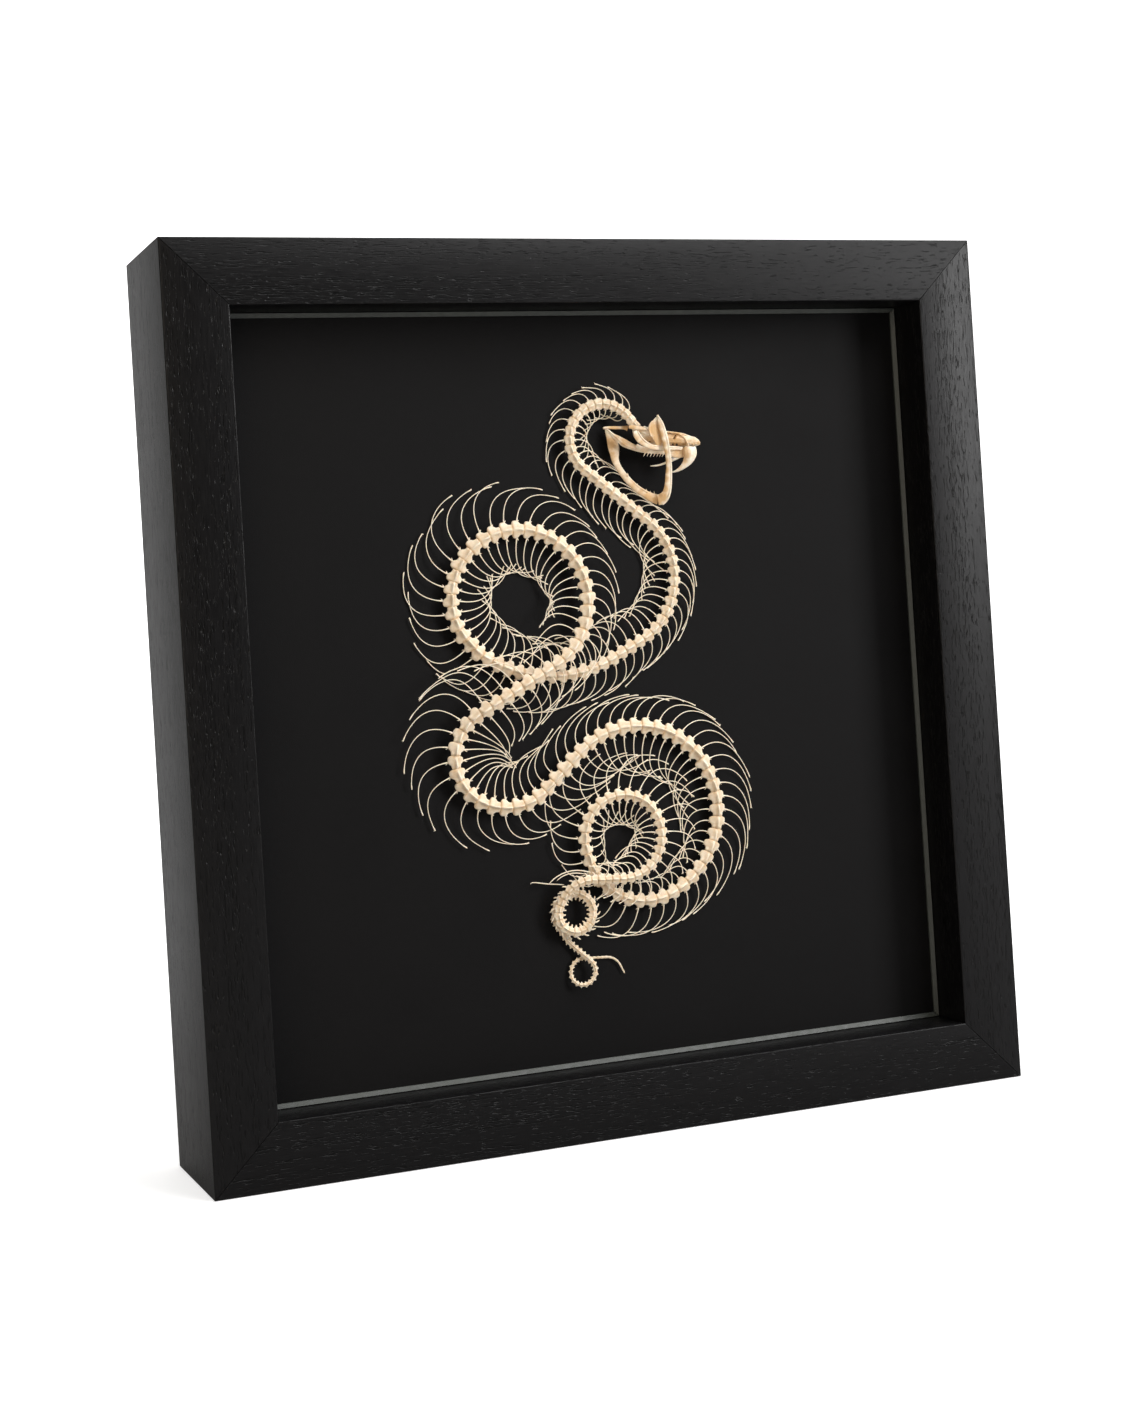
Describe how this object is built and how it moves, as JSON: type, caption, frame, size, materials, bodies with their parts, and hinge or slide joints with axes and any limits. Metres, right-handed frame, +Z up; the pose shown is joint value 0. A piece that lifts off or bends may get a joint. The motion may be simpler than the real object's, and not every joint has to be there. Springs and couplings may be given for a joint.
{
  "type": "mounted snake skeleton in a box frame",
  "caption": "Viper skeleton laid in loops on a black board inside a deep black oak box frame that stands on its bottom rail.",
  "frame": {"origin": "under the middle of the frame, at the level it stands on", "axes": "+X to the right along the frame as seen from the front, +Y from the front into the frame, +Z up the height of the frame"},
  "size_m": [0.38, 0.07, 0.39],
  "materials": {
    "frame_oak": "black stained, open pores, satin",
    "board_bead": "dark grey paint, satin",
    "specimen_board": "matt black",
    "back_board": "raw brown hardboard",
    "back_steel": "zinc plated",
    "bone": "cleaned ivory bone, satin",
    "fang_bone": "bleached bone and enamel, satin"
  },
  "bodies": {
    "root": {"rail_top": "frame_oak", "rail_right": "frame_oak", "rail_bottom": "frame_oak", "rail_left": "frame_oak", "bead_top": "board_bead", "bead_right": "board_bead", "bead_bottom": "board_bead", "bead_left": "board_bead", "back_batten_top": "frame_oak", "back_batten_right": "frame_oak", "back_batten_bottom": "frame_oak", "back_batten_left": "frame_oak", "board": "specimen_board", "back_panel": "back_board", "back_tab_1": "back_steel", "back_tab_2": "back_steel", "back_tab_3": "back_steel", "back_tab_4": "back_steel", "back_tab_5": "back_steel", "back_tab_6": "back_steel", "back_tab_7": "back_steel", "back_tab_8": "back_steel", "hanger": "back_steel", "cranium": "bone", "supratemporal_right": "bone", "supratemporal_left": "bone", "ectopterygoid_right": "bone", "ectopterygoid_left": "bone", "pterygoid_right": "bone", "pterygoid_left": "bone", "quadrate_left": "bone", "quadrate_right": "bone", "mandible_left": "bone", "mandible_right": "bone", "neck": "bone", "trunk_1": "bone", "trunk_2": "bone", "trunk_3": "bone", "trunk_4": "bone", "trunk_5": "bone", "trunk_6": "bone", "trunk_7": "bone", "trunk_8": "bone", "tail_1": "bone", "tail_2": "bone", "maxilla_right": "fang_bone", "maxilla_left": "fang_bone"}
  },
  "joints": []
}
